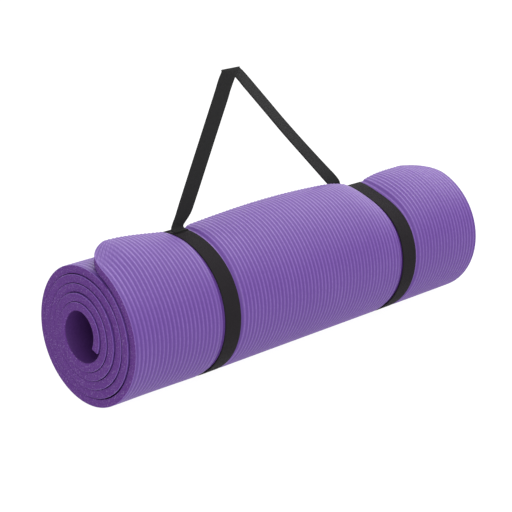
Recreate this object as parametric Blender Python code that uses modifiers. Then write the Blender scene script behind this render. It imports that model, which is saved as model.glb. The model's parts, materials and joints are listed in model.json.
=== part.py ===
"""A rolled exercise mat held by a webbing carry strap.

The foam mat is wound into a spiral roll that lies along X. One length of flat webbing makes a
loop round the roll near each end and a carry strap between them: it rises from the left loop,
folds flat over itself at the top and comes down to the right loop.

Frame: metres, +Z up, the front of the roll faces -Y, left is -X. The origin is the bottom
centre of the bounding box. Angles round the roll are measured from its crest, positive
towards the front.
"""

import math

import bmesh
import bpy
from mathutils import Matrix, Vector

# The mat: one foam sheet, rolled up from its inner end.
MAT_WIDTH = 0.600
MAT_THICKNESS = 0.010
MAT_CORNER_RADIUS = 0.045
CORE_RADIUS = 0.0229
TURNS = 5.0 + 1.0 / 3.0
TURN_GAP = 0.0008
FREE_END_ANGLE = -7.5
CHORDS_PER_TURN = 24
FINE_CHORDS_PER_COARSE = 4
FINE_CHORDS_LENGTH = 30.0

# The webbing, and how the two loops sit on the roll.
WEBBING_WIDTH = 0.025
WEBBING_THICKNESS = 0.0018
LOOP_CLEARANCE = 0.0005
LEFT_LOOP_INSET = 0.149
RIGHT_LOOP_INSET = 0.135
CONTACT_GAP = 0.0003

# The sewn eye behind the crest on each loop, and the bar tacks across it.
LEFT_EYE_ANGLE = -22.0
RIGHT_EYE_ANGLE = -45.0
EYE_LENGTH = 0.020
EYE_INNER_GAP = 0.0006
EYE_ARC_STEPS = 6
TACK_LENGTH = 0.020
TACK_WIDTH = 0.0022
TACK_HEIGHT = 0.0007
TACK_SPACING = 0.009

# The carry strap: its feet stand on the loops, and its fold is at the top, between them.
LEFT_FOOT_ANGLE = -4.7
RIGHT_FOOT_ANGLE = -31.0
FOOT_CLEARANCE = 0.0016
CARRY_HEIGHT = 0.1832
FOLD_FROM_LEFT_FOOT = 0.0892
FOLD_LENGTH = 0.032
FOLD_RADIUS = 0.0014
LEFT_LEG_BOW = 0.002
RIGHT_LEG_BOW = 0.003
LEG_ROWS = 10
LEG_PINCH = 0.09

COLLECTION_NAME = "rolled_exercise_mat"

TURN_PITCH = MAT_THICKNESS + TURN_GAP
OUTER_RADIUS = CORE_RADIUS + MAT_THICKNESS + TURN_PITCH * TURNS
CHORD_ANGLE = 360.0 / CHORDS_PER_TURN
LEFT_LOOP_X = -MAT_WIDTH / 2 + LEFT_LOOP_INSET
RIGHT_LOOP_X = MAT_WIDTH / 2 - RIGHT_LOOP_INSET


def spiral_radius(wound):
    """Outer radius of the mat after winding inwards by this many degrees from its free end."""
    return OUTER_RADIUS - TURN_PITCH * wound / 360.0


def section_point(radius, angle):
    """Point (y, z) at an angle from the crest, about the centre of the spiral."""
    turned = math.radians(angle)
    return Vector((-radius * math.sin(turned), radius * math.cos(turned)))


def wound_angles():
    """Degrees wound at each row of the mat: fine steps at the free end, then one chord each."""
    fine_step = CHORD_ANGLE / FINE_CHORDS_PER_COARSE
    fine = [fine_step * i for i in range(round(FINE_CHORDS_LENGTH / fine_step))]
    first = FINE_CHORDS_LENGTH
    chords = round((360.0 * TURNS - first) / CHORD_ANGLE)
    return fine + [first + CHORD_ANGLE * i for i in range(chords + 1)]


def left_turn(before, corner, after):
    """How far a path turns left at a corner: positive to the left, negative to the right."""
    first = corner - before
    second = after - before
    return first.x * second.y - first.y * second.x


def convex_hull(points):
    """Corners of the taut outline round a set of points, anticlockwise."""
    ordered = sorted(points, key=lambda p: (p.x, p.y))
    chains = []
    for run in (ordered, ordered[::-1]):
        chain = []
        for point in run:
            while len(chain) > 1 and left_turn(chain[-2], chain[-1], point) <= 0.0:
                chain.pop()
            chain.append(point)
        chains += chain[:-1]
    return [point.copy() for point in chains]


def taut_band(clearance):
    """Corners (y, z) of a band drawn taut round the roll, with a level foot at its bottom."""
    wound = [w for w in wound_angles() if w < 360.0]
    outline = [section_point(spiral_radius(w) + clearance, FREE_END_ANGLE + w) for w in wound]
    band = convex_hull(outline)
    foot = sorted(band, key=lambda p: p.y)[:2]
    for corner in foot:
        corner.y = foot[0].y
    return band


def section_centre():
    """Place (y, z) of the spiral's centre that puts the box's bottom centre at the origin."""
    outer = taut_band(LOOP_CLEARANCE)
    low = min(p.y for p in outer) - WEBBING_THICKNESS
    middle = (min(p.x for p in outer) + max(p.x for p in outer)) / 2
    return Vector((-middle, -low))


def band_outside(angle):
    """Point (y, z) on the outer face of a loop at an angle, and that face's outward normal."""
    centre = section_centre()
    band = taut_band(LOOP_CLEARANCE)
    ray = section_point(1.0, angle)
    for start, end in zip(band, band[1:] + band[:1]):
        along = end - start
        normal = Vector((along.y, -along.x)).normalized()
        if normal.dot(ray) <= 0.0:
            continue
        reach = normal.dot(start) / normal.dot(ray)
        share = (ray * reach - start).dot(along) / along.length_squared
        if 0.0 <= share <= 1.0:
            return centre + ray * reach + normal * WEBBING_THICKNESS, normal
    raise ValueError("the band has no side at this angle")


def foot_point(middle_x, angle):
    """Middle of a foot of the carry strap, clear of its loop along the whole sloping foot."""
    surface, normal = band_outside(angle)
    stand_off = WEBBING_THICKNESS / 2 + FOOT_CLEARANCE
    return Vector((middle_x, *(surface + normal * stand_off)))


def strap_frame():
    """Frame of the carry strap: X along the hinge line from foot to foot, Z up from that line."""
    left = foot_point(LEFT_LOOP_X, LEFT_FOOT_ANGLE)
    right = foot_point(RIGHT_LOOP_X, RIGHT_FOOT_ANGLE)
    along = (right - left).normalized()
    back = Vector((0.0, 0.0, 1.0)).cross(along).normalized()
    turn = Matrix((along, back, along.cross(back))).transposed()
    return Matrix.Translation(left) @ turn.to_4x4(), (right - left).length


def make_material(name, colour, roughness):
    """Principled material with one colour."""
    material = bpy.data.materials.new(name)
    material.use_nodes = True
    shader = material.node_tree.nodes["Principled BSDF"]
    shader.inputs["Base Color"].default_value = (*colour, 1.0)
    shader.inputs["Roughness"].default_value = roughness
    shader.inputs["Metallic"].default_value = 0.0
    return material


def add_object(name, mesh, collection, colour, roughness):
    """Link a mesh as a named object with its own material."""
    mesh.materials.append(make_material(name, colour, roughness))
    item = bpy.data.objects.new(name, mesh)
    collection.objects.link(item)
    return item


def strip_mesh(name, rows, cyclic=False):
    """Open surface one cell wide, laid through rows of (left point, right point).

    A flat grid gives the cells, and each of its rows is moved to its place. A cyclic strip
    repeats its first row at the end, and the two are merged.
    """
    laid = rows + rows[:1] if cyclic else rows
    last = len(laid) - 1
    bm = bmesh.new()
    bmesh.ops.create_grid(bm, x_segments=1, y_segments=last, size=1.0)
    for vert in bm.verts:
        row = laid[round((vert.co.y + 1.0) / 2.0 * last)]
        vert.co = row[1] if vert.co.x > 0.0 else row[0]
    if cyclic:
        bmesh.ops.remove_doubles(bm, verts=bm.verts, dist=0.00001)
    mesh = bpy.data.meshes.new(name)
    bm.to_mesh(mesh)
    bm.free()
    return mesh


def add_wall(item, thickness, offset):
    """Give an open strip its thickness: offset 1 grows it outwards, -1 inwards, 0 both ways."""
    wall = item.modifiers.new("wall", "SOLIDIFY")
    wall.thickness = thickness
    wall.offset = offset
    wall.use_even_offset = True
    return item


def mat_half_width(from_end):
    """Half width of the mat at a distance from an end, less inside its round corners."""
    short = max(0.0, MAT_CORNER_RADIUS - from_end)
    inset = MAT_CORNER_RADIUS - math.sqrt(MAT_CORNER_RADIUS ** 2 - short ** 2)
    return MAT_WIDTH / 2 - inset


def build_mat_roll(collection):
    """The foam mat: a flat sheet wound into a spiral of constant pitch."""
    centre = section_centre()
    wound = wound_angles()
    points = [centre + section_point(spiral_radius(w), FREE_END_ANGLE + w) for w in wound]
    from_start = [0.0]
    for before, here in zip(points, points[1:]):
        from_start.append(from_start[-1] + (here - before).length)
    rows = []
    for point, run in zip(points, from_start):
        half = mat_half_width(min(run, from_start[-1] - run))
        rows.append((Vector((-half, *point)), Vector((half, *point))))
    mesh = strip_mesh("mat_roll", rows[::-1])
    roll = add_object("mat_roll", mesh, collection, (0.29, 0.17, 0.47), 0.75)
    return add_wall(roll, MAT_THICKNESS, -1.0)


def build_loop(name, middle_x, collection):
    """A closed band of webbing drawn taut round the roll."""
    centre = section_centre()
    reach = Vector((WEBBING_WIDTH / 2, 0.0, 0.0))
    rows = []
    for corner in taut_band(LOOP_CLEARANCE)[::-1]:
        middle = Vector((middle_x, *(centre + corner)))
        rows.append((middle - reach, middle + reach))
    mesh = strip_mesh(name, rows, cyclic=True)
    loop = add_object(name, mesh, collection, (0.022, 0.020, 0.024), 0.85)
    return add_wall(loop, WEBBING_THICKNESS, 1.0)


def eye_frame(middle_x, angle):
    """Frame of an eye on its loop: X along the roll, Y down the back, Z away from the loop."""
    surface, normal = band_outside(angle)
    out = Vector((0.0, *normal))
    along = Vector((1.0, 0.0, 0.0))
    place = Vector((middle_x, *surface)) + out * CONTACT_GAP
    turn = Matrix((along, out.cross(along), out)).transposed()
    return Matrix.Translation(place) @ turn.to_4x4()


def build_eye(name, frame, collection):
    """The end of a loop folded back into a flat eye: a flattened ring of webbing."""
    bend = (EYE_INNER_GAP + WEBBING_THICKNESS) / 2
    straight = EYE_LENGTH / 2 - bend - WEBBING_THICKNESS / 2
    lift = bend + WEBBING_THICKNESS / 2
    rows = []
    for side in (1.0, -1.0):
        for step in range(EYE_ARC_STEPS + 1):
            turned = math.pi * (step / EYE_ARC_STEPS - 0.5)
            y = side * (straight + bend * math.cos(turned))
            z = lift + side * bend * math.sin(turned)
            left = frame @ Vector((-WEBBING_WIDTH / 2, y, z))
            right = frame @ Vector((WEBBING_WIDTH / 2, y, z))
            rows.append((left, right))
    mesh = strip_mesh(name, rows[::-1], cyclic=True)
    eye = add_object(name, mesh, collection, (0.022, 0.020, 0.024), 0.85)
    return add_wall(eye, WEBBING_THICKNESS, 0.0)


def build_tack(name, frame, side, collection):
    """One bar of sewing thread across the top of an eye, on one side of its middle."""
    top = EYE_INNER_GAP + 2 * WEBBING_THICKNESS + CONTACT_GAP
    place = Matrix.Translation((0.0, side * TACK_SPACING / 2, top + TACK_HEIGHT / 2))
    size = Matrix.Diagonal((TACK_LENGTH, TACK_WIDTH, TACK_HEIGHT, 1.0))
    bm = bmesh.new()
    bmesh.ops.create_cube(bm, size=1.0, matrix=frame @ place @ size)
    mesh = bpy.data.meshes.new(name)
    bm.to_mesh(mesh)
    bm.free()
    return add_object(name, mesh, collection, (0.035, 0.033, 0.037), 0.7)


def leg_rows(foot_x, bow, lean):
    """Rows of one leg from its foot to its place under the fold, in the frame of the strap.

    The middle of the leg runs straight from foot to fold and bows inwards by a parabola. Its
    edges are half a webbing width to each side, pinched to the foot's and the fold's lengths at
    the two ends. The leg leans from the hinge line to its own side of the fold, -1 or 1.
    """
    foot = Vector((foot_x, 0.0))
    top = Vector((FOLD_FROM_LEFT_FOOT, CARRY_HEIGHT - FOLD_RADIUS))
    chord = top - foot
    inwards = Vector((abs(chord.y), -abs(chord.x))).normalized()
    if chord.x < 0.0:
        inwards.x = -inwards.x
    rows = []
    for i in range(LEG_ROWS + 1):
        share = i / LEG_ROWS
        middle = foot + chord * share + inwards * bow * 4.0 * share * (1.0 - share)
        tangent = chord + inwards * bow * 4.0 * (1.0 - 2.0 * share)
        across = Vector((tangent.y, -tangent.x)).normalized() * (WEBBING_WIDTH / 2)
        if share < LEG_PINCH:
            across = Vector((WEBBING_WIDTH / 2, 0.0))
        if share > 1.0 - LEG_PINCH:
            across = Vector((FOLD_LENGTH / 2, 0.0))
        y = lean * FOLD_RADIUS * share
        left = Vector((middle.x - across.x, y, middle.y - across.y))
        right = Vector((middle.x + across.x, y, middle.y + across.y))
        rows.append((left, right))
    return rows


def build_carry_strap(collection):
    """The carry strap: up the left leg, flat over the fold, and down the right leg behind it."""
    frame, span = strap_frame()
    rows = leg_rows(0.0, LEFT_LEG_BOW, -1.0)
    for turned in (-45.0, 0.0, 45.0):
        y = FOLD_RADIUS * math.sin(math.radians(turned))
        z = CARRY_HEIGHT - FOLD_RADIUS * (1.0 - math.cos(math.radians(turned)))
        left = Vector((FOLD_FROM_LEFT_FOOT - FOLD_LENGTH / 2, y, z))
        right = Vector((FOLD_FROM_LEFT_FOOT + FOLD_LENGTH / 2, y, z))
        rows.append((left, right))
    rows += leg_rows(span, RIGHT_LEG_BOW, 1.0)[::-1]
    mesh = strip_mesh("carry_strap", rows)
    strap = add_object("carry_strap", mesh, collection, (0.030, 0.030, 0.030), 0.85)
    strap.matrix_world = frame
    return add_wall(strap, WEBBING_THICKNESS, 0.0)


def clear_scene():
    """Remove every object that the file opened with."""
    for item in list(bpy.data.objects):
        bpy.data.objects.remove(item, do_unlink=True)


def main():
    """Build the roll, its two loops and the carry strap."""
    clear_scene()
    collection = bpy.data.collections.new(COLLECTION_NAME)
    bpy.context.scene.collection.children.link(collection)
    build_mat_roll(collection)
    sides = (
        ("left", LEFT_LOOP_X, LEFT_EYE_ANGLE),
        ("right", RIGHT_LOOP_X, RIGHT_EYE_ANGLE),
    )
    for side, middle_x, eye_angle in sides:
        frame = eye_frame(middle_x, eye_angle)
        build_loop(side + "_loop", middle_x, collection)
        build_eye(side + "_eye", frame, collection)
        build_tack(side + "_front_tack", frame, -1.0, collection)
        build_tack(side + "_rear_tack", frame, 1.0, collection)
    build_carry_strap(collection)


main()
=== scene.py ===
"""Looks of a rolled exercise mat in its webbing carry strap.

The foam mat is one closed sheet wound into a spiral roll, ribbed outside and smooth inside, with
cut edges of fine foam cells. Two bands of webbing grip it, each with a sewn eye behind the crest,
and one ribbon of webbing rises from the left band, folds over itself and comes down to the right.

All lengths are in metres, +Z is up, the front of the roll faces -Y. Angles round the roll are in
degrees from its crest, positive towards the front. "Wound" is the angle that the mat has turned
since its free end.
"""

import json
import logging
import math
from dataclasses import dataclass, field
from enum import Enum

import bpy
import numpy as np
from mathutils import Matrix, Vector


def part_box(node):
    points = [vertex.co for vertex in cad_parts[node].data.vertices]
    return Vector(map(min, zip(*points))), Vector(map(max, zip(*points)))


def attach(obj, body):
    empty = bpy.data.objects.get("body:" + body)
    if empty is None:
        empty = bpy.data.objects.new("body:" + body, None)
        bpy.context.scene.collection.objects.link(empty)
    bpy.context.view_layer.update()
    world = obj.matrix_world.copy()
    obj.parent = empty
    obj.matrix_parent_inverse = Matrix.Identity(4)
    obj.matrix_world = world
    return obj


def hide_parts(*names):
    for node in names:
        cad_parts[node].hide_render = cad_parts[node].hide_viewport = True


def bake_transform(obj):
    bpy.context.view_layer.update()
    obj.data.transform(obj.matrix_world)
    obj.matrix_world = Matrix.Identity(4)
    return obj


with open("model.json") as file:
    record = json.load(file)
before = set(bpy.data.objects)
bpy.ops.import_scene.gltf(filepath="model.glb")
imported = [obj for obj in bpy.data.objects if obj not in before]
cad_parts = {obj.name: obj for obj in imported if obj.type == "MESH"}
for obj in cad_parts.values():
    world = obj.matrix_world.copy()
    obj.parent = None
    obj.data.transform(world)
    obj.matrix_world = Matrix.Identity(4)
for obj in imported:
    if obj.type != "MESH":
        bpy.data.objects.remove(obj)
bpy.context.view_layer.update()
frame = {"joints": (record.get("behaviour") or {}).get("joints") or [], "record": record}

LOG = logging.getLogger("rolled_mat")
MM = 0.001
SHARP_ANGLE = 48.0
QUARTER = np.radians([0.0, 30.0, 60.0, 90.0])
END_REST_DROP = 79.5 * MM  # from the roll's centre down to the mount on its end


class Body(Enum):
    """The bodies that the pieces ride on."""

    MAT = "mat"
    HARNESS = "harness"
    CARRY = "carry"


class Slot(Enum):
    """The material slots of the part's record."""

    FOAM = "mat_foam"
    LOOP = "loop_webbing"
    THREAD = "stitch_thread"
    STRAP = "strap_webbing"


# ---------------------------------------------------------------- arithmetic


def smooth(share: np.ndarray) -> np.ndarray:
    """Smooth step: 0 below 0, 1 above 1, and 3t^2 - 2t^3 between."""
    t = np.clip(share, 0.0, 1.0)
    return t * t * (3.0 - 2.0 * t)


def bell(distance: np.ndarray, width: float) -> np.ndarray:
    """Bell curve: e to the minus square of distance over width."""
    return np.exp(-((distance / width) ** 2))


def from_crest(angle: np.ndarray) -> np.ndarray:
    """An angle round the roll as -180 to 180 degrees from its crest."""
    return (angle + 180.0) % 360.0 - 180.0


def unit(vectors: np.ndarray) -> np.ndarray:
    """Each row divided by its own length."""
    return vectors / np.linalg.norm(vectors, axis=-1, keepdims=True)


def through(knots: np.ndarray, step: float, reads: int = 24) -> np.ndarray:
    """A smooth curve through rows of numbers, read at even distances along its first three.

    Each stretch is the Catmull-Rom cubic of its two knots and their two neighbours.

    Args:
        knots: Rows of numbers; the first three are a place.
        step: Distance between two rows of the result.
        reads: How often each stretch is read before it is evened out.

    Returns:
        The rows along the curve, with the first and last knot at its ends.
    """
    padded = np.vstack([2 * knots[0] - knots[1], knots, 2 * knots[-1] - knots[-2]])
    t = np.linspace(0.0, 1.0, reads, endpoint=False)[:, None]
    stretches = []
    for a, b, c, d in zip(padded[:-3], padded[1:-2], padded[2:-1], padded[3:]):
        cubic = 2 * b + (c - a) * t + (2 * a - 5 * b + 4 * c - d) * t**2
        stretches.append((cubic + (3 * b - a - 3 * c + d) * t**3) / 2)
    line = np.vstack([*stretches, knots[-1:]])
    run = np.r_[0.0, np.cumsum(np.linalg.norm(np.diff(line[:, :3], axis=0), axis=1))]
    even = np.linspace(0.0, run[-1], max(2, round(run[-1] / step)) + 1)
    return np.column_stack([np.interp(even, run, column) for column in line.T])


# ---------------------------------------------------------------- meshes


@dataclass
class FaceGroup:
    """Faces with the same number of corners and the same finish."""

    corners: np.ndarray
    finish: int = 0
    weave: np.ndarray | None = None


@dataclass
class Shell:
    """A closed surface: its points, its faces and one number for each point."""

    points: np.ndarray
    groups: list[FaceGroup]
    marks: dict[str, np.ndarray] = field(default_factory=dict)

    def volume(self) -> float:
        """Signed volume: the sum of the tetrahedra from the origin to each face's fan."""
        total = 0.0
        for group in self.groups:
            corner = self.points[group.corners]
            for k in range(1, corner.shape[1] - 1):
                cross = np.cross(corner[:, k], corner[:, k + 1])
                total += float(np.einsum("ij,ij->", corner[:, 0], cross)) / 6.0
        return total

    def piece(self, name: str, materials: list[bpy.types.Material]) -> bpy.types.Object:
        """Make the mesh object, with its faces pointing outwards.

        Args:
            name: The piece's name.
            materials: One material for each finish number.

        Returns:
            The new object, at the origin.
        """
        turn = -1 if self.volume() < 0.0 else 1
        faces = [f for g in self.groups for f in g.corners[:, ::turn].tolist()]
        mesh = bpy.data.meshes.new(name)
        mesh.from_pydata(self.points.tolist(), [], faces)
        finishes = [np.full(len(g.corners), g.finish, np.int32) for g in self.groups]
        mesh.polygons.foreach_set("material_index", np.concatenate(finishes))
        if self.groups[0].weave is not None:
            flat = [g.weave[:, ::turn].reshape(-1) for g in self.groups]
            layer = mesh.uv_layers.new(name="weave")
            layer.data.foreach_set("uv", np.concatenate(flat).astype(np.float32))
        for mark, values in self.marks.items():
            attribute = mesh.attributes.new(mark, "FLOAT", "POINT")
            attribute.data.foreach_set("value", values.astype(np.float32))
        for material in materials:
            mesh.materials.append(material)
        mesh.shade_smooth()
        mesh.set_sharp_from_angle(angle=math.radians(SHARP_ANGLE))
        item = bpy.data.objects.new(name, mesh)
        bpy.context.scene.collection.objects.link(item)
        return item


def sweep(
    points: np.ndarray,
    across: np.ndarray,
    normal: np.ndarray,
    section: np.ndarray,
    closed: bool,
) -> Shell:
    """Carry a closed section along a path.

    The point at station i and section corner (s, h) is points[i] + s across[i] + h normal[i].
    The weave map runs along the path in metres, and across it from the section's own s.

    Args:
        points: The path's stations, N by 3.
        across: The vector from the middle of each station to its edge, N by 3.
        normal: The vector of half a thickness at each station, N by 3.
        section: The corners (s, h) round the section, M by 2.
        closed: Whether the path runs back into its first station.

    Returns:
        The swept shell, capped at both ends where the path is open.
    """
    count, round_count = len(points), len(section)
    placed = points[:, None] + across[:, None] * section[:, :1] + normal[:, None] * section[:, 1:]
    last = count if closed else count - 1
    i, j = np.meshgrid(np.arange(last), np.arange(round_count), indexing="ij")
    after, beside = (i + 1) % count, (j + 1) % round_count
    stations = [(i, j), (i, beside), (after, beside), (after, j)]
    corners = np.stack([a * round_count + b for a, b in stations], -1).reshape(-1, 4)
    steps = np.linalg.norm(np.roll(points, -1, 0) - points, axis=1)
    run = np.r_[0.0, np.cumsum(steps)]
    half = np.linalg.norm(across, axis=1).mean()
    side = section[:, 0] * half
    along = np.stack([run[i], run[i], run[i + 1], run[i + 1]], -1)
    aside = np.stack([side[j], side[beside], side[beside], side[j]], -1)
    weave = np.stack([along, aside], -1).reshape(-1, 4, 2)
    groups = [FaceGroup(corners, weave=weave)]
    if not closed:
        ring = np.arange(round_count)[None]
        for start, way, place in ((0, -1, 0.0), (last * round_count, 1, run[last])):
            flat = np.stack([np.full(round_count, place), side], -1)[None]
            groups.append(FaceGroup((start + ring)[:, ::way], weave=flat[:, ::way]))
    return Shell(placed.reshape(-1, 3), groups)


def webbing_section(columns: int = 12) -> np.ndarray:
    """Section of flat webbing in half widths and half thicknesses, with round selvedges.

    The two faces are straight, and each edge is a half ellipse one thickness wide.
    """
    edge = 0.07
    faces = np.linspace(-(1.0 - edge), 1.0 - edge, columns)
    turn = np.radians([-60.0, -30.0, 0.0, 30.0, 60.0])
    bulge = np.column_stack([1.0 - edge + edge * np.cos(turn), np.sin(turn)])
    top = np.column_stack([faces[::-1], np.ones(columns)])
    low = np.column_stack([faces, -np.ones(columns)])
    return np.vstack([low, bulge, top, bulge[::-1] * (-1.0, 1.0)])


# ---------------------------------------------------------------- shader arithmetic


@dataclass(frozen=True)
class Wire:
    """One output socket, on which Python's operators add Math nodes."""

    board: "Board"
    socket: bpy.types.NodeSocket

    def _with(self, operation: str, *others: "Wire | float") -> "Wire":
        """A Math node on this value and the others."""
        return self.board.math(operation, self, *others)

    def __add__(self, other: "Wire | float") -> "Wire":
        """Sum."""
        return self._with("ADD", other)

    __radd__ = __add__

    def __mul__(self, other: "Wire | float") -> "Wire":
        """Product."""
        return self._with("MULTIPLY", other)

    def __sub__(self, other: "Wire | float") -> "Wire":
        """Difference."""
        return self._with("SUBTRACT", other)

    def __rsub__(self, other: float) -> "Wire":
        """Difference, with this value taken away."""
        return self.board.math("SUBTRACT", other, self)

    def __truediv__(self, other: "Wire | float") -> "Wire":
        """Quotient."""
        return self._with("DIVIDE", other)

    def __pow__(self, other: float) -> "Wire":
        """Power."""
        return self._with("POWER", other)

    def __abs__(self) -> "Wire":
        """Size without sign."""
        return self._with("ABSOLUTE")

    def sine(self) -> "Wire":
        """Sine, in radians."""
        return self._with("SINE")

    def floor(self) -> "Wire":
        """Whole number below."""
        return self._with("FLOOR")

    def above(self, low: float, high: float) -> "Wire":
        """Smooth step from 0 at low to 1 at high."""
        settings = {"interpolation_type": "SMOOTHSTEP"}
        values = {"Value": self, "From Min": low, "From Max": high}
        return self.board.add("ShaderNodeMapRange", settings, values)


class Board:
    """A node tree, and the shader node at its end."""

    def __init__(self, tree: bpy.types.NodeTree, shader: str) -> None:
        """Start on a tree.

        Args:
            tree: The node tree.
            shader: The name of its shader node.
        """
        self.tree = tree
        self.shader = tree.nodes[shader]

    def add(self, kind: str, settings: dict, values: dict, output: int | str = 0) -> Wire:
        """Add a node: its settings first, then its sockets.

        Args:
            kind: The node's type.
            settings: Its properties, by name.
            values: A number, a colour or a Wire for each input, by name or number.
            output: Which output to return.

        Returns:
            The chosen output.
        """
        node = self.tree.nodes.new(kind)
        for name, value in settings.items():
            setattr(node, name, value)
        for name, value in values.items():
            if isinstance(value, Wire):
                self.tree.links.new(value.socket, node.inputs[name])
            else:
                node.inputs[name].default_value = value
        return Wire(self, node.outputs[output])

    def math(self, operation: str, *values: "Wire | float") -> Wire:
        """A Math node."""
        return self.add("ShaderNodeMath", {"operation": operation}, dict(enumerate(values)))

    def drive(self, socket: str, value: Wire) -> None:
        """Link a value to one of the shader's sockets."""
        self.tree.links.new(value.socket, self.shader.inputs[socket])


class Finish(Board):
    """The nodes of one material, with one Principled shader."""

    def __init__(self, name: str, **constants: float | tuple[float, ...]) -> None:
        """Start a material.

        Args:
            name: The material's name.
            constants: Values for the shader's own sockets, with _ for each space.
        """
        self.material = bpy.data.materials.new(name)
        self.material.use_nodes = True
        super().__init__(self.material.node_tree, "Principled BSDF")
        for socket, value in constants.items():
            self.shader.inputs[socket.replace("_", " ")].default_value = value

    def place(self) -> Wire:
        """Object coordinates."""
        return self.add("ShaderNodeTexCoord", {}, {}, "Object")

    def noise(self, scale: float, detail: float = 2.0, roughness: float = 0.5) -> Wire:
        """Soft noise, so many lumps to the metre."""
        values = {"Vector": self.place(), "Scale": scale, "Detail": detail, "Roughness": roughness}
        return self.add("ShaderNodeTexNoise", {}, values, "Fac")

    def cells(self, scale: float) -> Wire:
        """Distance from the middle of each of so many cells to the metre."""
        values = {"Vector": self.place(), "Scale": scale}
        return self.add("ShaderNodeTexVoronoi", {"feature": "F1"}, values, "Distance")

    def blend(self, factor: Wire, low: "Wire | tuple", high: "Wire | tuple") -> Wire:
        """Mix of two colours."""
        settings = {"data_type": "RGBA"}
        return self.add("ShaderNodeMix", settings, {0: factor, 6: low, 7: high}, 2)

    def bump(self, height: Wire, distance: float, strength: float = 1.0) -> None:
        """Raise the surface by a height of 0 to 1 times a distance."""
        values = {"Height": height, "Distance": distance, "Strength": strength}
        self.drive("Normal", self.add("ShaderNodeBump", {}, values))


def opaque(red: float, green: float, blue: float) -> tuple[float, float, float, float]:
    """A colour with full alpha."""
    return red, green, blue, 1.0


# ---------------------------------------------------------------- finishes


@dataclass(frozen=True)
class FoamSkin:
    """Closed skin of the moulded foam: soft sheen, fine grain, and painted shade between the ribs
    that leaves pale painted highlight lines on their crowns.
    """

    name: str = "foam_skin"
    colour: tuple = opaque(0.142, 0.056, 0.306)
    pale: tuple = opaque(0.190, 0.092, 0.375)
    # painted shade: the darker colour laid between the ribs, so the crowns stand out as painted
    # highlight lines
    groove: tuple = opaque(0.092, 0.029, 0.226)
    grain_scale: float = 1500.0
    grain_height: float = 0.12 * MM
    cloud_scale: float = 14.0
    fleck_scale: float = 430.0
    mottle: tuple[float, float] = (0.38, 0.82)
    roughness: float = 0.34

    def make(self) -> bpy.types.Material:
        """The material: mottled skin on the ribs, painted shade in the grooves between them, and
        the grain in its bump.
        """
        board = Finish(self.name, Specular_IOR_Level=0.5)
        grain = board.noise(self.grain_scale, 3.0, 0.6)
        clouds = board.noise(self.cloud_scale, 3.0, 0.55)
        flecks = board.noise(self.fleck_scale, 2.0, 0.6)
        mottle = (clouds * 0.45 + flecks * 0.75).above(*self.mottle)
        skin = board.blend(mottle, self.colour, self.pale)
        # mask of the painted shade between the ribs; it also makes the grooves rougher
        groove = board.add("ShaderNodeAttribute", {"attribute_name": "groove"}, {}, "Fac")
        board.drive("Base Color", board.blend(groove, skin, self.groove))
        board.drive("Roughness", self.roughness + grain * 0.16 + groove * 0.2)
        board.bump(grain, self.grain_height, 0.6)
        return board.material


@dataclass(frozen=True)
class CutFoam:
    """Cut edge of the foam: open cells, with painted shade in their pits and a thin scatter of pale
    painted glints.
    """

    name: str = "cut_foam"
    wall: tuple = opaque(0.098, 0.027, 0.195)
    # painted shade in the hollows of the open cells
    pit_shade: tuple = opaque(0.038, 0.008, 0.090)
    # painted highlight: pale glints scattered over the cut face
    speck_glint: tuple = opaque(0.260, 0.170, 0.380)
    cell_scale: float = 620.0
    fine_share: float = 2.3
    cell_depth: float = 0.5 * MM
    glint_range: tuple[float, float] = (0.58, 0.67)
    roughness: float = 0.72

    def make(self) -> bpy.types.Material:
        """The material: cells of two sizes for colour and bump, painted shade in their pits, and a
        thin scatter of painted highlight specks.
        """
        board = Finish(self.name, Specular_IOR_Level=0.22)
        cells = board.cells(self.cell_scale)
        fine = board.cells(self.cell_scale * self.fine_share)
        clouds = board.noise(60.0, 3.0)
        # painted shade where the cells open
        shaded_cell = (1.0 - (cells * 0.9 + fine * 0.5)).above(0.25, 0.85) * 0.75
        body = board.blend(shaded_cell * (0.55 + clouds * 0.7), self.wall, self.pit_shade)
        # a thin scatter of painted highlight glints
        glint_scatter = board.noise(self.cell_scale, 2.0, 0.7).above(*self.glint_range)
        board.drive("Base Color", board.blend(glint_scatter * 0.75, body, self.speck_glint))
        board.drive("Roughness", self.roughness + fine * 0.2)
        board.bump(cells * 0.7 + fine * 0.5, self.cell_depth, 0.55)
        return board.material


@dataclass(frozen=True)
class Webbing:
    """Flat woven webbing: warp yarns along it, and weft ribs that step half a yarn each time."""

    name: str
    yarn: tuple
    shade: tuple
    warp_pitch: float = 1.15 * MM
    weft_pitch: float = 2.4 * MM
    relief: float = 0.22 * MM
    fuzz_scale: float = 2600.0
    roughness: float = 0.66

    def make(self) -> bpy.types.Material:
        """The material: each yarn is a rounded bar, |sin| across it times |sin| along it."""
        board = Finish(self.name, Specular_IOR_Level=0.08)
        weave = board.add("ShaderNodeUVMap", {"uv_map": "weave"}, {})
        along = board.add("ShaderNodeSeparateXYZ", {}, {0: weave}, "X")
        aside = board.add("ShaderNodeSeparateXYZ", {}, {0: weave}, "Y")
        column = aside / self.warp_pitch
        step = column.floor() * 0.5
        across = abs((column * math.pi).sine()) ** 0.6
        bar = abs(((along / self.weft_pitch + step) * math.pi).sine()) ** 0.5
        yarn = across * bar
        fuzz = board.noise(self.fuzz_scale, 2.0, 0.6)
        colour = board.blend(yarn * 0.8 + fuzz * 0.3, self.shade, self.yarn)
        board.drive("Base Color", colour)
        board.drive("Roughness", self.roughness + fuzz * 0.25)
        board.bump(yarn + fuzz * 0.2, self.relief)
        return board.material


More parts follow.
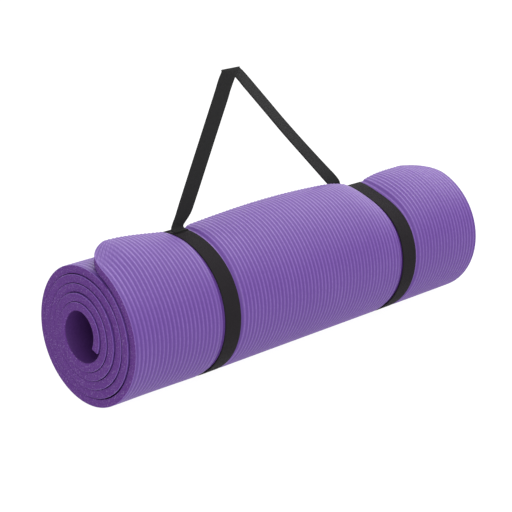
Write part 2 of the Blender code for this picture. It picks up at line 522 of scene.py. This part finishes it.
@dataclass(frozen=True)
class Thread:
    """Twisted sewing thread, a little paler than the webbing."""

    name: str = "sewing_thread"
    pale: tuple = opaque(0.060, 0.057, 0.062)
    dark: tuple = opaque(0.022, 0.020, 0.024)
    streak_scale: float = 3800.0
    streak_height: float = 0.08 * MM
    roughness: float = 0.45

    def make(self) -> bpy.types.Material:
        """The material: fine streaks of noise in colour, roughness and bump."""
        board = Finish(self.name, Specular_IOR_Level=0.3, Sheen_Weight=0.1)
        streak = board.noise(self.streak_scale, 2.0)
        board.drive("Base Color", board.blend(streak, self.dark, self.pale))
        board.drive("Roughness", self.roughness + streak * 0.3)
        board.bump(streak, self.streak_height)
        return board.material


# painted shade: a darker copy of the skin for the inner face, which lies in the shade inside the
# roll
SHADED_FOAM_LINING = FoamSkin(
    name="foam_lining",
    colour=opaque(0.060, 0.017, 0.125),
    pale=opaque(0.078, 0.025, 0.155),
)
BAND_WEBBING = Webbing("band_webbing", opaque(0.021, 0.018, 0.021), opaque(0.006, 0.005, 0.006))
STRAP_WEBBING = Webbing("strap_webbing", opaque(0.026, 0.026, 0.026), opaque(0.008, 0.008, 0.008))


# ---------------------------------------------------------------- the roll


@dataclass
class RollForm:
    """The spiral that the mat is wound on, and how the soft foam gives under the straps.

    Values that end in "turn" are widths of bells round the roll in degrees, and "reach" and
    "length" are distances along it. Each sway is a rate per turn, a phase and a size.
    """

    centre: tuple[float, float]
    strap_places: tuple[float, float]
    outer: float = 90.5 * MM
    core: float = 22.9 * MM
    pitch: float = 10.8 * MM
    free_end: float = -7.5
    width: float = 0.600
    band_clearance: float = 0.5 * MM
    band_thickness: float = 1.8 * MM
    swelling: float = 2.6 * MM
    left_share: float = 0.5
    left_reach: float = 110.0 * MM
    end_bump: float = 1.9 * MM
    end_bump_place: float = -22.0
    end_bump_turn: float = 42.0
    end_spread: float = 3.0 * MM
    spread_turn: float = 62.0
    grip_half: float = 12.5 * MM
    grip_fade: float = 10.0 * MM
    pinches: tuple[float, float] = (2.2 * MM, 11.4 * MM)
    pinch_reaches: tuple[float, float] = (15.0 * MM, 32.0 * MM)
    pinch_turn: float = 34.0
    pinch_centre: float = 17.0
    taper: float = 5.0 * MM
    taper_length: float = 45.0 * MM
    taper_turn: float = 58.0
    core_rise: float = 5.0 * MM
    core_rise_turn: float = 60.0
    core_hold: float = 1.5
    lift_left: float = 9.6 * MM
    lift_reach: float = 105.0 * MM
    lift_middle: float = 6.7 * MM
    lift_turn: float = 64.0
    lift_powers: tuple[float, float] = (1.6, 1.1)
    droop: float = 0.72
    droop_start: float = 102.0 * MM
    droop_length: float = 44.0 * MM
    slip: float = 1.6 * MM
    sways: tuple[tuple[float, float, float], ...] = ((9.1, 0.0, 0.35 * MM), (23.0, 1.0, 0.2 * MM))
    touch_range: tuple[float, float] = (300.0, 358.0)
    touch_reads: int = 233
    floor_height: float = 0.25 * MM
    floor_softness: float = 0.4 * MM

    def swell(self, x: np.ndarray, angle: np.ndarray) -> np.ndarray:
        """How far the foam stands out.

        It swells between the straps but not under them. Near its left end it swells less, and
        bulges behind the crest, and at its right end the crest tapers.
        """
        near = np.min(np.abs(x[..., None] - np.array(self.strap_places)), axis=-1)
        free = smooth((near - self.grip_half) / self.grip_fade)
        turned = from_crest(angle)
        left = smooth((self.strap_places[0] - x) / self.left_reach)
        bump = self.end_bump * left * bell(turned - self.end_bump_place, self.end_bump_turn)
        last = np.clip((x - self.width / 2) / self.taper_length + 1.0, 0.0, 1.0)
        taper = self.taper * last * bell(turned, self.taper_turn)
        return self.swelling * free * (1.0 - self.left_share * left) + bump - taper

    def squeeze(self, x: np.ndarray, angle: np.ndarray) -> np.ndarray:
        """How far each strap pulls the crest in: a bell along the roll times one round it."""
        turned = from_crest(angle)
        along = sum(
            depth * bell(x - place, reach)
            for depth, place, reach in zip(self.pinches, self.strap_places, self.pinch_reaches)
        )
        return along * bell(turned - self.pinch_centre, self.pinch_turn)

    def lift(self, x: np.ndarray, wound: np.ndarray) -> np.ndarray:
        """How far the free end springs up.

        It is an arch between the straps, and one that droops at its corner on their left.
        """
        left, right = self.strap_places
        outer = np.clip((left - x) / self.lift_reach, 0.0, 1.0)
        middle = np.clip((x - left) / (right - left), 0.0, 1.0)
        fall = self.droop * smooth((left - self.droop_start - x) / self.droop_length)
        arch = self.lift_left * np.sin(np.pi / 2 * outer) ** self.lift_powers[0] * (1.0 - fall)
        arch = arch + self.lift_middle * np.sin(np.pi * middle) ** self.lift_powers[1]
        return arch * (1.0 - smooth(wound / self.lift_turn))

    def place(self, x: np.ndarray, depth: np.ndarray, wound: np.ndarray) -> np.ndarray:
        """Where a point of the flat mat lies in the roll.

        The radius is the spiral's, less the depth below the outer face. The swelling and the
        squeeze fade to nothing at the core, which sits a little high. Inner turns have slipped
        towards -X and sway by sums of sines. Nothing sinks into the floor: z follows a branch
        of a hyperbola that ends level.

        Args:
            x: Place along the roll.
            depth: Depth below the mat's outer face.
            wound: Degrees wound from the free end.

        Returns:
            Places, with one more axis of length three.
        """
        turns = wound / 360.0
        sway = sum(size * np.sin(turns * rate + phase) for rate, phase, size in self.sways)
        x = x - self.slip * turns + sway
        spread = smooth((x - self.strap_places[1]) / (self.width / 2 - self.strap_places[1]))
        angle = self.free_end + wound
        turned = from_crest(angle)
        x = x + self.end_spread * spread * (1.0 - bell(turned, self.spread_turn))
        radius = self.outer - self.pitch * turns - depth
        share = np.clip((radius - self.core) / (self.outer - self.core), 0.0, 1.0)
        share = share**self.core_hold
        radius = radius + (1.0 - share) * self.core_rise * bell(turned, self.core_rise_turn)
        radius = radius + share * (self.swell(x, angle) - self.squeeze(x, angle))
        radius = radius + self.lift(x, wound)
        turned = np.radians(angle)
        y = self.centre[0] - radius * np.sin(turned)
        z = self.centre[1] + radius * np.cos(turned)
        floor = self.floor_height
        z = (z + floor + np.sqrt((z - floor) ** 2 + self.floor_softness**2)) / 2
        return np.stack(np.broadcast_arrays(x, y, z), -1)

    def band_radius(self, angle: np.ndarray) -> np.ndarray:
        """Inner radius of a taut band: the spiral, and the straight line off its free end.

        The line runs from the free end's edge to the place behind it where it is a tangent,
        which is the steepest of many tried.
        """
        start = np.radians(self.free_end)
        wound = (angle - self.free_end) % 360.0
        spiral = self.outer - self.pitch * wound / 360.0 + self.band_clearance
        edge = (self.outer + self.band_clearance) * np.array([np.sin(start), np.cos(start)])
        back = np.linspace(*self.touch_range, self.touch_reads)
        reach = self.outer - self.pitch * back / 360.0 + self.band_clearance
        turned = np.radians(self.free_end + back)
        touch = np.column_stack([reach * np.sin(turned), reach * np.cos(turned)])
        slope = np.arctan2(touch[:, 1] - edge[1], edge[0] - touch[:, 0])
        best = int(np.argmax(slope))
        along = edge - touch[best]
        ray = np.stack([np.sin(np.radians(angle)), np.cos(np.radians(angle))], -1)
        cross = edge[0] * along[1] - edge[1] * along[0]
        line = cross / (ray[..., 0] * along[1] - ray[..., 1] * along[0])
        return np.where(wound > back[best], line, spiral)

    def band_line(self, x: float, angle: np.ndarray, out: float) -> np.ndarray:
        """Points (y, z) at a height above the inner face of the band round a place x."""
        here = np.full_like(angle, x)
        radius = self.band_radius(angle) - self.squeeze(here, angle) + out
        turned = np.radians(angle)
        y = self.centre[0] - radius * np.sin(turned)
        z = self.centre[1] + radius * np.cos(turned)
        return np.column_stack([y, np.maximum(z, out)])


@dataclass
class FoamMat:
    """The mat itself: one closed sheet from its free end to the end inside the roll."""

    form: RollForm
    turns: float = 5.0 + 1.0 / 3.0
    corner: float = 48.0 * MM
    edge_round: float = 1.1 * MM
    rib_pitch: float = 6.0 * MM
    ridge_height: float = 0.60 * MM
    ridge_width: float = 0.17
    ribs_per_coarse: int = 4
    ribbed_turn: float = 396.0
    fine_step: float = 3.3
    coarse_step: float = 8.0
    margin: float = 60.0 * MM
    corner_step: float = 7.5
    layer_gap: float = 0.3 * MM
    open_gap: float = 1.0 * MM
    open_place: float = 150.0
    open_turn: float = 26.0
    least_round: float = 0.12 * MM
    rib_phases: tuple[float, ...] = (0.0, 0.11, 0.25, 0.5, 0.75, 0.89)

    def rows(self) -> tuple[np.ndarray, np.ndarray]:
        """Degrees wound at the fine rows, close together at the free end, and at the coarse."""
        steps = round(90.0 / self.corner_step)
        quarter = np.radians(np.arange(1, steps + 1) * self.corner_step)
        rounding = self.edge_round * (1.0 - np.cos(QUARTER))
        lengths = np.union1d(rounding, self.corner * (1.0 - np.cos(quarter)))
        start = np.degrees(lengths / self.form.outer)
        fine = np.arange(start[-1] + self.fine_step, self.ribbed_turn, self.fine_step)
        last = 360.0 * self.turns
        end = last - np.degrees(rounding[::-1] / self.form.core)
        count = round((end[0] - fine[-1]) / self.coarse_step)
        coarse = np.linspace(fine[-1], end[0], count + 1)[1:]
        return np.r_[start, fine], np.r_[coarse, end[1:]]

    def ridge(self, x: np.ndarray) -> np.ndarray:
        """Share of a rib's height at a place across the mat: a bell round each whole pitch."""
        return bell(x / self.rib_pitch - np.round(x / self.rib_pitch), self.ridge_width)

    def thickness(self, wound: np.ndarray) -> np.ndarray:
        """Thickness of the foam: the pitch less a small gap, wider low in front on turn one."""
        gap = self.layer_gap + self.open_gap * bell(wound - self.open_place, self.open_turn)
        return self.form.pitch - gap

    def section(self, wound: np.ndarray, ribs: np.ndarray) -> tuple[np.ndarray, ...]:
        """One closed section of the flat mat for each row.

        The outer face runs from left to right, then the right edge, the inner face from right
        to left, and the left edge. Near each end of the mat the section narrows by the round
        corner, a quarter circle, and thins by the round edge, a smaller one.

        Args:
            wound: Degrees wound at each row.
            ribs: Places across the outer face where its columns stand at full width.

        Returns:
            The place along the roll, the depth and the share of a groove, which is the mask of
            painted shade between the ribs, each rows by columns.
        """
        last = 360.0 * self.turns
        at_start = wound < last / 2
        run = np.where(at_start, wound * self.form.outer, (last - wound) * self.form.core)
        run = np.radians(run)
        short = np.clip(self.corner - run, 0.0, self.corner)
        rounded = np.where(at_start, short, 0.0)
        half = self.form.width / 2 - (self.corner - np.sqrt(self.corner**2 - rounded**2))
        near = np.clip(self.edge_round - run, 0.0, self.edge_round)
        inset = (self.edge_round - np.sqrt(self.edge_round**2 - near**2))[:, None]
        half = half[:, None] - inset
        small = np.maximum(self.edge_round - inset, self.least_round)
        thick = self.thickness(wound)[:, None]
        inner = self.form.width / 2 - self.margin

        def spread(columns: np.ndarray) -> np.ndarray:
            """Columns beyond the margin, drawn in to the row's own half width."""
            beyond = np.clip(np.abs(columns) - inner, 0.0, None) / self.margin
            reach = inner + beyond * (half - small - inner)
            return np.where(beyond > 0.0, np.sign(columns) * reach, columns)

        outer_x = spread(ribs[None])
        inner_x = spread(self.coarse_columns()[None, ::-1])
        share = self.ridge(outer_x)
        flat = 1.0 - inset / self.edge_round
        outer_d = inset + self.ridge_height * (1.0 - share) * flat
        out = half - small + small * np.sin(QUARTER[1:])
        deep = inset + small - small * np.cos(QUARTER[1:])
        edge_x = np.concatenate([out, out[:, ::-1]], 1)
        edge_d = np.concatenate([deep, (thick - deep)[:, ::-1]], 1)
        inner_d = np.broadcast_to(thick - inset, inner_x.shape)
        x = np.concatenate([outer_x, edge_x, inner_x, -edge_x[:, ::-1]], 1)
        depth = np.concatenate([outer_d, edge_d, inner_d, edge_d[:, ::-1]], 1)
        # share of painted shade between the ribs, on the outer face only
        marks = np.zeros_like(x)
        marks[:, : share.shape[1]] = (1.0 - share) * flat
        return x, depth, marks

    def coarse_cells(self) -> int:
        """Cells across the mat where no ribs are needed."""
        return round(self.form.width / self.rib_pitch / self.ribs_per_coarse)

    def fine_columns(self) -> np.ndarray:
        """Places of the columns across the ribbed face: a few phases of each rib."""
        ribs = round(self.form.width / self.rib_pitch)
        crowns = (np.arange(ribs) - ribs / 2)[:, None] + np.array(self.rib_phases)
        return np.r_[crowns.ravel(), ribs / 2] * self.rib_pitch

    def coarse_columns(self) -> np.ndarray:
        """Places of the columns across the outer face of the hidden turns."""
        cells = self.coarse_cells()
        return (np.arange(cells + 1) / cells - 0.5) * self.form.width

    def faces(self, fine_rows: int, coarse_rows: int) -> list[FaceGroup]:
        """Faces of the whole sheet.

        Quads join each row to the next. Where the ribbed columns end, each cell of the coarse
        columns is one face with a corner at every fine column. Such faces also close the ends.
        """
        cells = self.coarse_cells()
        per = self.ribs_per_coarse * len(self.rib_phases)
        fine_cells = cells * per
        edge = 2 * len(QUARTER) - 1
        rim = 2  # cells of each edge that still have the skin
        fine, coarse = fine_cells + cells + 2 * edge, 2 * cells + 2 * edge

        def grid(start: int, rows: int, columns: int, outer: int) -> list[FaceGroup]:
            """Quads of one block of rows, sorted by finish."""
            i, j = np.meshgrid(np.arange(rows - 1), np.arange(columns), indexing="ij")
            beside = (j + 1) % columns
            here, there = start + i * columns, start + (i + 1) * columns
            quads = np.stack([here + j, here + beside, there + beside, there + j], -1)
            cut = outer + edge
            ends = ((0, outer + rim, 0), (outer + rim, cut, 1), (cut, cut + cells, 2))
            ends += ((cut + cells, columns - rim, 1), (columns - rim, columns, 0))
            return [FaceGroup(quads[:, a:b].reshape(-1, 4), kind) for a, b, kind in ends]

        second = fine_rows * fine
        groups = grid(0, fine_rows, fine, fine_cells) + grid(second, coarse_rows, coarse, cells)
        above, below = second - fine, second
        k = np.arange(cells)[:, None]
        fan = above + k * per + np.arange(per + 1)
        groups.append(FaceGroup(np.hstack([fan, below + k + 1, below + k]), 0))
        j = np.arange(cells + 2 * edge)[:, None]
        upper, lower = above + fine_cells + j, below + cells + j
        upper_next = above + (fine_cells + j + 1) % fine
        lower_next = below + (cells + j + 1) % coarse
        groups.append(FaceGroup(np.hstack([upper, upper_next, lower_next, lower]), 1))
        for start, outer, step, way in (
            (0, fine_cells, per, -1),
            (second + (coarse_rows - 1) * coarse, cells, 1, 1),
        ):
            first = start + k * step + np.arange(step + 1)
            under = start + outer + edge + cells - k
            cap = np.hstack([first, under - 1, under])
            side = start + outer + np.arange(edge + 1)[None]
            rest = start + (outer + edge + cells + np.arange(edge + 1)) % (outer + cells + 2 * edge)
            groups += [FaceGroup(c[:, ::way], 1) for c in (cap, side, rest[None])]
        return groups

    def build(self, materials: list[bpy.types.Material]) -> bpy.types.Object:
        """Wind the sheet up and make the piece.

        Args:
            materials: Skin, cut edge and inner skin; the inner skin is a darker copy of the skin
                with painted shade.

        Returns:
            The mat.
        """
        fine, coarse = self.rows()
        blocks, marks = [], []
        for wound, columns in ((fine, self.fine_columns()), (coarse, self.coarse_columns())):
            x, depth, share = self.section(wound, columns)
            blocks.append(self.form.place(x, depth, wound[:, None]).reshape(-1, 3))
            marks.append(share.ravel())
        shell = Shell(
            np.vstack(blocks),
            self.faces(len(fine), len(coarse)),
            # mask of the painted shade between the ribs
            {"groove": np.concatenate(marks)},
        )
        mat = shell.piece("foam_mat", materials)
        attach(mat, Body.MAT.value)
        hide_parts("mat_roll")
        return mat


# ---------------------------------------------------------------- the harness


@dataclass
class Harness:
    """The two bands round the roll, their sewn eyes and the bar tacks on them."""

    form: RollForm
    webbing: bpy.types.Material
    thread: bpy.types.Material
    half_width: float = 12.5 * MM
    eye_length: float = 20.0 * MM
    eye_gap: float = 0.6 * MM
    eye_angles: dict[str, float] = field(default_factory=lambda: {"left": -22.0, "right": -45.0})
    clearance: float = 0.3 * MM
    band_step: float = 1.5
    tack_spacing: float = 9.0 * MM
    tack_length: float = 20.0 * MM
    tack_reach: float = 0.85 * MM
    thread_radius: float = 0.24 * MM
    thread_rise: float = 0.15 * MM
    thread_sides: int = 6
    stitches: int = 17
    stitch_reads: int = 8

    def band(self, side: str, x: float) -> bpy.types.Object:
        """A band drawn taut round the roll: the webbing section swept round it.

        Args:
            side: "left" or "right".
            x: The band's middle along the roll.

        Returns:
            The band.
        """
        half = self.form.band_thickness / 2
        angle = np.arange(0.0, 360.0, self.band_step)
        line = self.form.band_line(x, angle, half)
        points = np.column_stack([np.full(len(angle), x), line])
        tangent = unit(np.roll(points, -1, 0) - np.roll(points, 1, 0))
        across = np.tile([self.half_width, 0.0, 0.0], (len(angle), 1))
        normal = unit(np.cross(tangent, across)) * half
        shell = sweep(points, across, normal, webbing_section(), closed=True)
        return shell.piece(f"{side}_band", [self.webbing])

    def seat(self, x: float, angle: float) -> Matrix:
        """Frame on top of a band: X along the roll, Y down its back, Z away from it."""
        angles = np.array([angle - 0.5, angle, angle + 0.5])
        line = self.form.band_line(x, angles, self.form.band_thickness)
        back = Vector((0.0, *(line[0] - line[2]))).normalized()
        along = Vector((1.0, 0.0, 0.0))
        turn = Matrix((along, back, along.cross(back))).transposed()
        return Matrix.Translation((x, *line[1])) @ turn.to_4x4()

    def eye(self, side: str, seat: Matrix) -> bpy.types.Object:
        """The end of the webbing turned back on itself: a flattened ring on the band.

        Its line is two straight runs joined by two half circles round the gap.
        """
        thick = self.form.band_thickness
        bend = (self.eye_gap + thick) / 2
        straight = self.eye_length / 2 - bend - thick / 2
        turn = np.radians(np.linspace(-90.0, 90.0, 13))
        front = np.column_stack([straight + bend * np.cos(turn), bend * np.sin(turn)])
        runs = np.linspace(straight, -straight, 9)[1:-1]
        top = np.column_stack([runs, np.full(len(runs), bend)])
        ring = np.vstack([front, top, -front, -top])
        lift = bend + thick / 2 + self.clearance
        local = np.column_stack([np.zeros(len(ring)), ring[:, 0], ring[:, 1] + lift])
        points = self.seated(seat, local)
        tangent = unit(np.roll(points, -1, 0) - np.roll(points, 1, 0))
        across = np.tile([self.half_width, 0.0, 0.0], (len(ring), 1))
        normal = unit(np.cross(across, tangent)) * thick / 2
        shell = sweep(points, across, normal, webbing_section(), closed=True)
        return shell.piece(f"{side}_sewn_eye", [self.webbing])

    def tack(self, name: str, seat: Matrix, offset: float) -> bpy.types.Object:
        """A bar tack: one thread laid as a sine wave across the eye, dipping at each turn."""
        t = np.linspace(0.0, 1.0, self.stitches * self.stitch_reads + 1)
        wave = 2.0 * np.pi * self.stitches * t
        top = self.eye_gap + 2 * self.form.band_thickness + self.clearance + self.thread_radius
        x = self.tack_length * (t - 0.5)
        y = offset + self.tack_reach * np.sin(wave)
        z = top + self.thread_rise * np.cos(wave) ** 2
        points = self.seated(seat, np.column_stack([x, y, z]))
        tangent = unit(np.gradient(points, axis=0))
        up = np.array(seat.to_3x3().col[2])
        aside = unit(np.cross(tangent, up)) * self.thread_radius
        normal = unit(np.cross(aside, tangent)) * self.thread_radius
        turn = np.linspace(0.0, 2.0 * np.pi, self.thread_sides, endpoint=False)
        section = np.column_stack([np.cos(turn), np.sin(turn)])
        shell = sweep(points, aside, normal, section, closed=False)
        return shell.piece(name, [self.thread])

    @staticmethod
    def seated(seat: Matrix, local: np.ndarray) -> np.ndarray:
        """Rows of local points moved into the row frame."""
        matrix = np.array(seat)
        return local @ matrix[:3, :3].T + matrix[:3, 3]

    def build(self) -> list[bpy.types.Object]:
        """Make both bands with their eyes and tacks, riding the harness."""
        pieces = []
        for side, x in zip(("left", "right"), self.form.strap_places):
            seat = self.seat(x, self.eye_angles[side])
            made = [
                (self.band(side, x), f"{side}_loop", Slot.LOOP),
                (self.eye(side, seat), f"{side}_eye", Slot.LOOP),
            ]
            for part, way in (("front", -0.5), ("rear", 0.5)):
                tack = self.tack(f"{side}_{part}_stitches", seat, way * self.tack_spacing)
                made.append((tack, f"{side}_{part}_tack", Slot.THREAD))
            for piece, node, slot in made:
                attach(piece, Body.HARNESS.value)
                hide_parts(node)
                pieces.append(piece)
        return pieces


@dataclass
class CarryStrap:
    """The carry strap: a ribbon that rises, folds flat over itself and comes down."""

    webbing: bpy.types.Material
    hinge: Vector
    axis: Vector
    span: float
    half_width: float = 12.5 * MM
    thickness: float = 1.8 * MM
    fold: tuple[float, float] = (89.2 * MM, 182.4 * MM)
    fold_radius: float = 1.5 * MM
    step: float = 1.6 * MM
    bend_height: float = 42.0 * MM

    def knots(self) -> np.ndarray:
        """Rows of (along, back, up) for the middle of the ribbon, then for its half width.

        They are in millimetres in the strap's own frame: along the hinge line from the left
        foot, towards the back, and up.
        """
        top, high = self.fold[0] / MM, self.fold[1] / MM
        far = self.span / MM
        tight = self.fold_radius / MM
        left = [
            (0.0, -8.0, -2.95, 11.4, 0.0, 0.0),
            (0.0, -4.5, -2.8, 11.4, 0.0, 0.0),
            (0.0, -1.5, -2.0, 11.0, 0.0, 0.0),
            (0.2, 0.0, 1.0, 10.6, 0.0, 0.0),
            (3.6, 0.0, 6.4, 10.8, -0.4, -0.9),
            (8.6, 0.0, 13.0, 11.3, -0.7, -2.2),
            (13.4, 0.0, 21.5, 11.5, -0.9, -4.0),
            (20.2, 0.0, 36.0, 11.4, -0.9, -4.9),
            (28.9, 0.0, 55.0, 11.4, -0.95, -5.1),
            (51.3, 0.0, 104.0, 11.4, -0.95, -5.1),
            (72.4, 0.0, 150.0, 11.5, -0.95, -5.1),
            (top - 13.0, -0.4, high - 22.0, 11.5, -0.9, -5.0),
            (top - 8.8, -0.9, high - 12.0, 12.6, -1.2, -2.4),
            (top - 5.2, -tight, high - 4.5, 13.7, -1.2, -0.2),
        ]
        turn = [
            (top - 2.4, -tight * 0.8, high - 1.2, 15.6, -0.6, 0.4),
            (top - 0.6, 0.0, high, 17.3, 0.0, 0.55),
            (top + 0.4, tight * 0.8, high - 1.0, 17.0, 0.4, 0.6),
        ]
        right = [
            (top + 9.2, 2.7, high - 3.0, 12.9, 1.6, 1.8),
            (top + 17.6, 4.6, high - 6.4, 8.9, 3.2, 3.6),
            (123.8, 5.4, 163.2, 6.8, 5.8, 7.8),
            (160.6, 4.0, 132.1, 7.0, 6.2, 8.2),
            (202.0, 2.5, 97.0, 7.0, 6.1, 8.3),
            (247.2, 1.0, 60.3, 7.1, 5.9, 8.4),
            (290.2, 0.0, 26.2, 7.3, 5.2, 8.6),
            (far - 8.4, 0.0, 10.8, 9.0, 4.0, 7.0),
            (far - 0.8, 0.3, 4.0, 11.2, 1.6, 3.4),
            (far + 0.8, 2.6, -1.0, 12.0, 0.0, 0.8),
            (far, 6.4, -4.6, 12.0, 0.0, 0.0),
            (far, 9.8, -7.0, 12.0, 0.0, 0.0),
        ]
        return np.array(left + turn + right) * MM

    def build(self) -> bpy.types.Object:
        """Sweep the webbing along the ribbon, set in the frame of the hinge line.

        The normal at each station is the cross product of its tangent and its half width.
        """
        along = self.axis.normalized()
        back = Vector((0.0, 0.0, 1.0)).cross(along).normalized()
        up = along.cross(back)
        turn = np.array([along, back, up])
        rows = through(self.knots(), self.step)
        points = rows[:, :3] @ turn + np.array(self.hinge)
        across = rows[:, 3:] @ turn
        tangent = unit(np.gradient(points, axis=0))
        normal = unit(np.cross(tangent, across)) * self.thickness / 2
        shell = sweep(points, across, normal, webbing_section(), closed=False)
        strap = shell.piece("carry_webbing", [self.webbing])
        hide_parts("carry_strap")
        self.hinge + up * self.bend_height
        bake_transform(strap)
        return strap


# ---------------------------------------------------------------- the studio


@dataclass(frozen=True)
class Lamp:
    """A square soft lamp: its place, its power in watts and its size."""

    name: str
    place: tuple[float, float, float]
    power: float
    size: float


@dataclass
class Studio:
    """A white floor that runs into a white background, soft lamps and the camera."""

    target: tuple[float, float, float] = (-0.0297, 0.0, 0.1197)
    heading: float = 44.32
    pitch: float = 18.6
    distance: float = 2.025
    lens: float = 113.9
    screen: float = 0.25
    screen_way: tuple[float, float, float] = (0.68, -0.73, 0.02)
    screen_edge: tuple[float, float] = (0.45, 0.92)
    glow: float = 1.5
    glow_way: tuple[float, float, float] = (0.62, 0.46, 0.63)
    glow_edge: tuple[float, float] = (0.72, 0.95)
    floor_half: float = 15.0
    floor_glow: float = 0.97
    lamps: tuple[Lamp, ...] = (
        Lamp("key_lamp", (2.9, -0.8, 2.9), 110.0, 4.0),
        Lamp("fill_lamp", (-1.3, -3.0, 1.4), 40.0, 2.5),
    )

    def world(self) -> None:
        """A white studio with a dim screen at the front right and a bright one above the back.

        Their reflections keep the colour deep across the middle of the roll and pale along
        its crest.
        """
        world = bpy.data.worlds.new("surround")
        bpy.context.scene.world = world
        world.use_nodes = True
        board = Board(world.node_tree, "Background")
        board.shader.inputs["Color"].default_value = opaque(1.0, 1.0, 1.0)
        way = board.add("ShaderNodeTexCoord", {}, {}, "Generated")
        dim = self.facing(board, way, self.screen_way).above(*self.screen_edge)
        bright = self.facing(board, way, self.glow_way).above(*self.glow_edge)
        board.drive("Strength", 1.0 - dim * (1.0 - self.screen) + bright * self.glow)
        bpy.context.scene.view_settings.view_transform = "Standard"

    @staticmethod
    def facing(board: Board, way: Wire, aim: tuple[float, float, float]) -> Wire:
        """Cosine of the angle between a direction and an aim."""
        settings = {"operation": "DOT_PRODUCT"}
        return board.add("ShaderNodeVectorMath", settings, {0: way, 1: aim}, "Value")

    def floor(self) -> None:
        """A wide plain floor, bright enough to stay white under the roll."""
        half = self.floor_half
        corners = [(-half, -half, 0.0), (half, -half, 0.0), (half, half, 0.0), (-half, half, 0.0)]
        mesh = bpy.data.meshes.new("floor")
        mesh.from_pydata(corners, [], [(0, 1, 2, 3)])
        board = Finish(
            "floor_white",
            Base_Color=opaque(0.10, 0.10, 0.10),
            Roughness=0.9,
            Specular_IOR_Level=0.0,
            Emission_Color=opaque(1.0, 1.0, 1.0),
            Emission_Strength=self.floor_glow,
        )
        mesh.materials.append(board.material)
        floor = bpy.data.objects.new("floor", mesh)
        bpy.context.scene.collection.objects.link(floor)

    def hang(self, lamp: Lamp) -> None:
        """Hang a lamp so that it faces the roll."""
        light = bpy.data.lights.new(lamp.name, "AREA")
        light.energy = lamp.power
        light.size = lamp.size
        item = bpy.data.objects.new(lamp.name, light)
        item.location = lamp.place
        aim = Vector(self.target) - Vector(lamp.place)
        item.rotation_euler = aim.to_track_quat("-Z", "Y").to_euler()
        bpy.context.scene.collection.objects.link(item)

    def camera(self) -> None:
        """The camera, turned by its heading from +Y towards +X and tipped down."""
        yaw, down = math.radians(self.heading), math.radians(self.pitch)
        ahead = (math.sin(yaw) * math.cos(down), math.cos(yaw) * math.cos(down), -math.sin(down))
        data = bpy.data.cameras.new("camera")
        data.lens = self.lens
        data.sensor_width = 36.0
        data.clip_end = 60.0
        camera = bpy.data.objects.new("camera", data)
        camera.location = Vector(self.target) - Vector(ahead) * self.distance
        camera.rotation_euler = Vector(ahead).to_track_quat("-Z", "Y").to_euler()
        bpy.context.scene.collection.objects.link(camera)
        bpy.context.scene.camera = camera

    def build(self) -> None:
        """Set everything up."""
        self.world()
        self.floor()
        for lamp in self.lamps:
            self.hang(lamp)
        self.camera()


def middle(node: str) -> Vector:
    """Middle of a node's box."""
    low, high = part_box(node)
    return (low + high) / 2


def find(rows: list[dict], name: str) -> dict:
    """The row of that name."""
    return next(row for row in rows if row["name"] == name)


def main() -> None:
    """Build the mat, the harness, the carry strap and the studio, and log each piece's faces."""
    logging.basicConfig(level=logging.INFO, format="%(name)s: %(message)s")
    end_rest = find(frame["record"]["mounts"], "end_rest")["pos_m"]
    places = (middle("left_loop").x, middle("right_loop").x)
    form = RollForm(centre=(end_rest[1], end_rest[2] + END_REST_DROP), strap_places=places)
    mat = FoamMat(form).build([FoamSkin().make(), CutFoam().make(), SHADED_FOAM_LINING.make()])
    pieces = [mat, *Harness(form, BAND_WEBBING.make(), Thread().make()).build()]
    hinge = find(frame["joints"], "carry_swing")
    axis = Vector(hinge["axis"]).normalized()
    span = (places[1] - places[0]) / axis.x
    strap = CarryStrap(STRAP_WEBBING.make(), Vector(hinge["pos_m"]), axis, span)
    pieces.append(strap.build())
    for piece in pieces:
        LOG.info("%s: %d faces", piece.name, len(piece.data.polygons))
    Studio().build()


if __name__ == "__main__":
    main()
